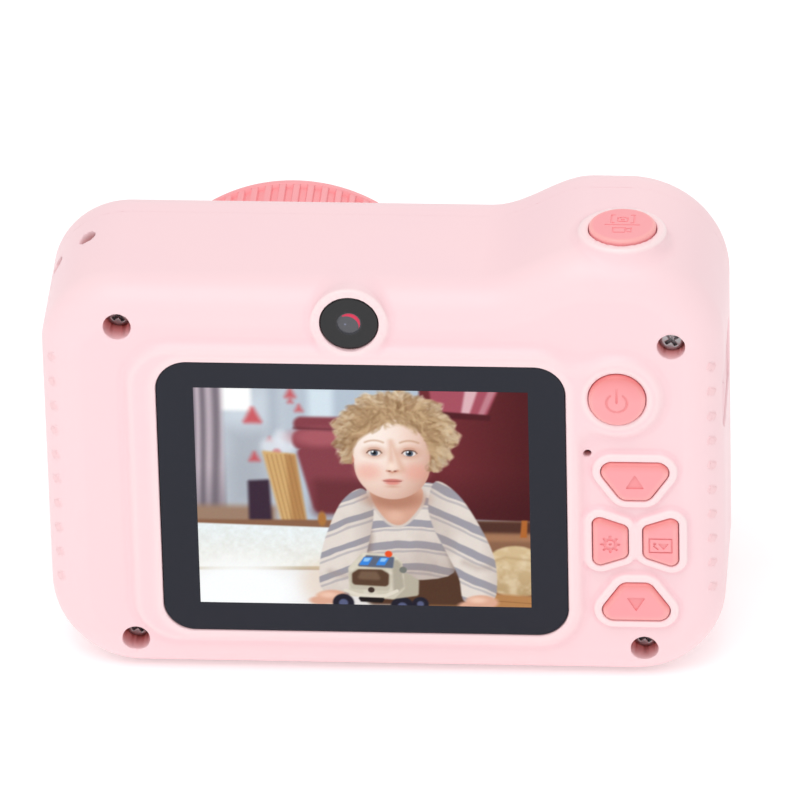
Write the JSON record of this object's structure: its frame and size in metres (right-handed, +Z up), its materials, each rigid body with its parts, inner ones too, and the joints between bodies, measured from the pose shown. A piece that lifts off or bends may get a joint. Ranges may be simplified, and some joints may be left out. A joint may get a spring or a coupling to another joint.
{
  "type": "kids digital camera",
  "caption": "Toy digital camera: soft two-part shell with grip hump, rear screen and push-button pad, top shutter button, turning ribbed ring round the front lens, rubber port flap.",
  "frame": {"origin": "bottom centre of the bounding box, on the surface the camera stands on", "axes": "+X towards the strap eyelets (the user's left when looking at the screen), +Y towards the user out of the screen, +Z up; the lens looks along -Y"},
  "size_m": [0.1, 0.0438, 0.0727],
  "materials": {
    "shell": "fine satin moulded plastic, pale pink",
    "window": "polished black-edged acrylic",
    "foam": "closed-cell foam",
    "display": "display glass",
    "tin": "bright tinned sheet",
    "ribbon": "polyimide film",
    "white_plastic": "satin white moulding",
    "dark_lens": "polished dark acrylic",
    "black_plastic": "black moulding compound",
    "coral": "satin coral-pink moulded plastic",
    "glass": "coated lens glass",
    "diffuser": "frosted clear plastic",
    "phosphor": "yellow phosphor",
    "board": "green solder mask",
    "wire": "insulated wire",
    "cell": "laminated foil pouch",
    "speaker_can": "black plastic basket",
    "brass": "plated can",
    "black_rubber": "black rubber",
    "steel": "plated steel",
    "plunger": "dark grey plastic",
    "pink_rubber": "soft pink rubber"
  },
  "bodies": {
    "shell": {"rear_cover": "shell", "front_cover": "shell", "screen_window": "window", "screen_gasket": "foam", "lcd_panel": "display", "lcd_backlight": "tin", "lcd_ribbon": "ribbon", "screen_holder": "white_plastic", "rear_lens_window": "dark_lens", "rear_camera_module": "black_plastic", "rear_camera_ribbon": "ribbon", "lens_barrel": "coral", "lens_trim_ring": "white_plastic", "front_lens_window": "dark_lens", "front_camera_module": "black_plastic", "front_camera_lens": "glass", "front_camera_ribbon": "ribbon", "flash_window": "diffuser", "flash_led": "phosphor", "flash_board": "board", "main_board": "board", "processor_chip": "black_plastic", "memory_chip": "black_plastic", "power_chip": "black_plastic", "key_switches": "black_plastic", "shutter_board": "board", "shutter_switch": "black_plastic", "shutter_leads": "wire", "battery": "cell", "battery_pad": "foam", "battery_leads": "wire", "speaker": "speaker_can", "speaker_leads": "wire", "microphone": "brass", "microphone_boot": "black_rubber", "usb_port": "tin", "card_slot": "tin", "cover_screws": "steel", "board_screws": "steel", "port_cover_root": "pink_rubber"},
    "power_key": {"power_button": "coral", "power_plunger": "plunger"},
    "up_key": {"up_button": "coral", "up_plunger": "plunger"},
    "down_key": {"down_button": "coral", "down_plunger": "plunger"},
    "settings_key": {"settings_button": "coral", "settings_plunger": "plunger"},
    "gallery_key": {"gallery_button": "coral", "gallery_plunger": "plunger"},
    "shutter_key": {"shutter_button": "coral", "shutter_plunger": "plunger"},
    "port_flap": {"port_cover": "pink_rubber"},
    "play_ring": {"lens_ring": "coral"}
  },
  "joints": [
    {"name": "power_press", "type": "slide", "parent": "shell", "child": "power_key", "axis": [0, -1, 0], "range_m": [0, 0.0005], "stiffness_N_per_m": 1500, "springref_m": -0.0005},
    {"name": "up_press", "type": "slide", "parent": "shell", "child": "up_key", "axis": [0, -1, 0], "range_m": [0, 0.0005], "stiffness_N_per_m": 1500, "springref_m": -0.0005},
    {"name": "down_press", "type": "slide", "parent": "shell", "child": "down_key", "axis": [0, -1, 0], "range_m": [0, 0.0005], "stiffness_N_per_m": 1500, "springref_m": -0.0005},
    {"name": "settings_press", "type": "slide", "parent": "shell", "child": "settings_key", "axis": [0, -1, 0], "range_m": [0, 0.0005], "stiffness_N_per_m": 1500, "springref_m": -0.0005},
    {"name": "gallery_press", "type": "slide", "parent": "shell", "child": "gallery_key", "axis": [0, -1, 0], "range_m": [0, 0.0005], "stiffness_N_per_m": 1500, "springref_m": -0.0005},
    {"name": "shutter_press", "type": "slide", "parent": "shell", "child": "shutter_key", "axis": [0, 0, -1], "range_m": [0, 0.0006], "stiffness_N_per_m": 1500, "springref_m": -0.0005},
    {"name": "port_hinge", "type": "hinge", "parent": "shell", "child": "port_flap", "pos_m": [-0.0493, -0.0002, 0.046], "axis": [0, 0, 1], "range_deg": [0, 110]},
    {"name": "ring_turn", "type": "hinge", "parent": "shell", "child": "play_ring", "pos_m": [0.0154, -0.0159, 0.0382], "axis": [0, -1, 0], "continuous": true}
  ]
}
